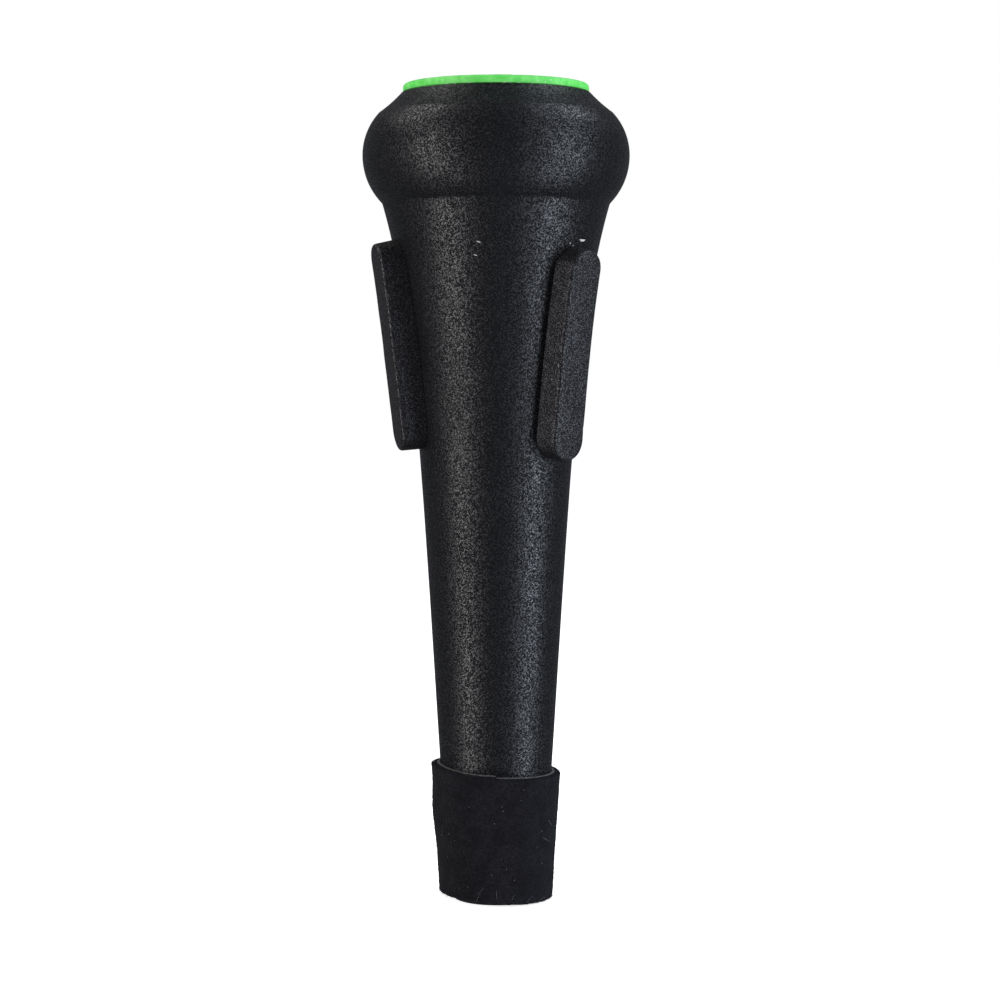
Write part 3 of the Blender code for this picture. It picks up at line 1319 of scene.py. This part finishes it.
FOAM_MARKS = (
    Mark(551.4, 379.5, 0.26 * MM, 0.2 * MM),
    Mark(544.6, 446.0, 0.22 * MM, 0.18 * MM),
    Mark(555.2, 283.0, 0.24 * MM, 0.18 * MM),
    Mark(558.4, 365.5, 0.20 * MM, 0.75 * MM, 0.03 * MM),
)
LINT_SPOTS = (
    (469.0, 807.0), (502.0, 807.0), (503.3, 811.2), (521.0, 800.5), (524.3, 790.0), (448.9, 833.8),
    (454.6, 840.8), (447.6, 857.2), (494.4, 823.8), (459.4, 888.2), (467.6, 887.0), (491.6, 875.2),
    (506.4, 869.6), (514.4, 880.2), (542.0, 863.2), (542.0, 831.0), (537.2, 847.0), (441.6, 835.0),
)


@dataclass
class LooseHairs:
    """The few long hairs that the photograph shows on the sleeve."""

    lines: tuple[tuple[tuple[float, float], ...], ...] = (
        ((548.0, 820.5), (550.5, 823.5), (552.6, 826.2)),
        ((542.5, 837.5), (547.5, 840.5), (551.5, 841.8)),
        ((476.5, 901.5), (478.2, 897.5), (480.6, 893.0)),
        ((497.0, 899.0), (496.6, 893.5), (496.8, 888.5)),
        ((527.0, 902.5), (529.6, 898.5), (532.6, 895.5)),
        ((539.6, 899.5), (543.0, 897.6), (546.0, 897.2)),
        ((478.5, 893.8), (482.5, 889.6), (484.8, 884.6)),
        ((511.5, 900.5), (513.2, 896.5), (516.4, 893.2)),
    )
    radius: float = 0.018 * MM
    lift: float = 0.09 * MM

    def build(self, camera: PhotoCamera, carrier: bpy.types.Object, effects: Effects) -> bpy.types.Object:
        """Lays the hairs on the sleeve.

        Args:
            camera: The photograph's camera, whose pixels place them.
            carrier: The sleeve.
            effects: The shared shader groups.

        Returns:
            The piece.
        """
        shape = Shape()
        for line in self.lines:
            path = []
            for across, down in line:
                found = camera.touch(carrier, across, down)
                if found is not None:
                    path.append(found[0] + found[1] * self.lift)
            if len(path) > 1:
                add_fibre(shape, path, self.radius)
        finish = PaleTrace("pale_hair", (0.12, 0.12, 0.13), (0.26, 0.26, 0.27), 0.6)
        return place_piece(shape.make("loose_hairs", [finish.make(effects)]))


@dataclass(frozen=True)
class Softbox:
    """One long soft light, from its low end to its high end."""

    name: str
    low: tuple[float, float, float]
    high: tuple[float, float, float]
    width: float
    power: float
    colour: Colour

    def build(self, aim: Vector) -> None:
        """Makes the light.

        Args:
            aim: What it points at.
        """
        low = Vector(self.low)
        high = Vector(self.high)
        middle = (low + high) / 2
        along = (high - low).normalized()
        away = middle - aim
        away = (away - along * away.dot(along)).normalized()
        data = bpy.data.lights.new(self.name, "AREA")
        data.shape = "RECTANGLE"
        data.size = self.width
        data.size_y = (high - low).length
        data.energy = self.power
        data.color = self.colour
        light = bpy.data.objects.new(self.name, data)
        facing = Matrix((along.cross(away), along, away)).transposed().to_4x4()
        light.matrix_world = Matrix.Translation(middle) @ facing
        light.visible_camera = False
        bpy.context.scene.collection.objects.link(light)


@dataclass
class Studio:
    """Plain pale floor and surroundings with four softboxes."""

    aim: Vector = field(default_factory=lambda: Vector((0.0, 0.0, 75 * MM)))
    floor_radius: float = 4.0
    floor_colour: Colour = (0.86, 0.86, 0.86)
    floor_glow: float = 0.90
    surround: Colour = (0.15, 0.155, 0.17)
    backdrop: Colour = (1.0, 1.0, 1.0)
    lights: tuple[Softbox, ...] = (
        Softbox("warm_softbox", (-0.63, -0.64, -0.85), (-0.79, -0.43, 0.75), 0.30, 7.2, (1.0, 0.955, 0.90)),
        Softbox("cool_softbox", (0.82, -0.37, -0.85), (0.82, -0.37, 0.75), 0.34, 9.4, (0.88, 0.945, 1.0)),
        Softbox("warm_top_softbox", (-0.60, 0.10, 0.62), (-0.32, 0.18, 0.90), 0.26, 2.1, (1.0, 0.955, 0.90)),
        Softbox("cool_top_softbox", (0.62, 0.10, 0.62), (0.34, 0.18, 0.90), 0.26, 2.4, (0.88, 0.945, 1.0)),
    )

    def build(self) -> None:
        """Makes the floor, the surroundings and the lights."""
        bpy.context.scene.view_settings.view_transform = "Standard"
        self.build_floor()
        self.build_surroundings()
        for light in self.lights:
            light.build(self.aim)

    def build_floor(self) -> None:
        """Makes the round pale floor, which looks evenly lit to the camera."""
        shape = Shape()
        centre = shape.add_ring([Vector((0.0, 0.0, 0.0))])[0]
        steps = 96
        ring = shape.add_ring([
            Vector((math.cos(math.tau * step / steps), math.sin(math.tau * step / steps), 0.0)) * self.floor_radius
            for step in range(steps)
        ])
        for step in range(steps):
            shape.add_face((centre, ring[step], ring[(step + 1) % steps]))
        material = bpy.data.materials.new("pale_floor")
        material.use_nodes = True
        wires = Wires(material.node_tree)
        shader = material.node_tree.nodes["Principled BSDF"]
        seen = wires.add("ShaderNodeLightPath").outputs["Is Camera Ray"]
        wires.feed(shader.inputs["Base Color"], (*self.floor_colour, 1.0))
        wires.feed(shader.inputs["Roughness"], 0.9)
        wires.feed(shader.inputs["Specular IOR Level"], 0.0)
        wires.feed(shader.inputs["Emission Color"], (1.0, 1.0, 1.0, 1.0))
        wires.feed(shader.inputs["Emission Strength"], wires.maths("MULTIPLY", seen, self.floor_glow))
        floor = shape.make("studio_floor", [material])
        floor.visible_glossy = False
        floor.visible_shadow = False

    def build_surroundings(self) -> None:
        """Makes the pale background, which gives the object only a dim even light."""
        world = bpy.data.worlds.new("studio")
        bpy.context.scene.world = world
        world.use_nodes = True
        wires = Wires(world.node_tree)
        world.node_tree.nodes.clear()
        seen = wires.add("ShaderNodeLightPath").outputs["Is Camera Ray"]
        dim = wires.add("ShaderNodeBackground", Color=(*self.surround, 1.0), Strength=1.0)
        pale = wires.add("ShaderNodeBackground", Color=(*self.backdrop, 1.0), Strength=1.0)
        mixed = wires.add("ShaderNodeMixShader", Fac=seen)
        wires.feed(mixed.inputs[1], dim.outputs[0])
        wires.feed(mixed.inputs[2], pale.outputs[0])
        wires.add("ShaderNodeOutputWorld", Surface=mixed.outputs[0])


def build_strips(form: HornForm, finish: bpy.types.Material) -> list[bpy.types.Object]:
    """Makes the three foam strips, a third of a turn apart.

    Args:
        form: The horn that they sit on.
        finish: Their material.

    Returns:
        The pieces: right, back and left.
    """
    fold = Crease(middle=-13.3 * MM, lean=0.26, depth=0.07 * MM, width=0.4 * MM)
    strips = (
        ("right", 7.7 * MM, fold, 0.0, 0.7 * MM),
        ("back", 6.9 * MM, None, 0.2 * MM, 0.0),
        ("left", 6.2 * MM, None, 0.45 * MM, 0.0),
    )
    pieces = []
    for index, (side, drop, crease, bulge, skew) in enumerate(strips):
        turn = math.radians(-44.5) + math.tau * index / len(strips)
        strip = FoamStrip(f"foam_strip_{side}", f"foam_pad_{side}", turn, drop, form, crease, bulge, skew)
        pieces.append(strip.build(finish))
    return pieces


def build_sleeve(form: HornForm, camera: PhotoCamera, effects: Effects) -> None:
    """Makes the felt sleeve with its nap, lint and hairs.

    Args:
        form: The horn that it is wrapped round.
        camera: The photograph's camera.
        effects: The shared shader groups.
    """
    sleeve = FeltSleeve(form)
    felt = WoolFelt().make(effects)
    cut_felt = WoolFelt("film_edge", (0.05, 0.05, 0.052), (0.16, 0.16, 0.165), sheen=0.2).make(effects)
    nap_felt = WoolFelt("nap_felt", (0.009, 0.009, 0.011), (0.024, 0.024, 0.027)).make(effects)
    cloth = sleeve.build(felt, cut_felt)
    nap = sleeve.build_nap(nap_felt)
    spots = [Mark(across, down, 0.13 * MM, 0.11 * MM, 0.06 * MM) for across, down in LINT_SPOTS]
    lint = Marks("lint", spots, PaleTrace("lint_white", (0.12, 0.12, 0.13), (0.34, 0.34, 0.34), 0.8))
    specks = lint.build(camera, cloth, effects)
    hairs = LooseHairs().build(camera, cloth, effects)
    sleeve.length()


def main() -> None:
    """Builds the studio and every piece of the mute."""
    logging.basicConfig(level=logging.INFO, format="%(name)s: %(message)s")
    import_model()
    form = HornForm()
    effects = Effects()
    camera = PhotoCamera()
    camera.build()
    Studio().build()
    body = HornBody(form).build(GrainedPlastic().make(effects))
    cap = EndCap(form).build(CapPlastic().make(effects))
    strips = build_strips(form, FoamRubber().make(effects))
    build_sleeve(form, camera, effects)
    # Pale finish of dried glue and of painted glints on the horn.
    glue_and_glint = PaleTrace("glue_and_painted_glint", (0.42, 0.42, 0.40), (0.85, 0.85, 0.82), 0.45)
    # Pale green finish of the painted highlights on the cap's lower edge.
    fleck = PaleTrace("painted_edge_highlight", (0.72, 0.86, 0.70), (0.94, 0.98, 0.92), 0.5)
    grit = PaleTrace("foam_grit", (0.10, 0.10, 0.10), (0.30, 0.30, 0.29), 0.8)
    Marks("glue_and_glint_marks", GLUE_AND_GLINT_MARKS, glue_and_glint).build(camera, body, effects)
    Marks("cap_edge_highlights", CAP_EDGE_HIGHLIGHTS, fleck).build(camera, cap, effects)
    Marks("foam_specks", FOAM_MARKS, grit).build(camera, strips[0], effects)


if __name__ == "__main__":
    main()
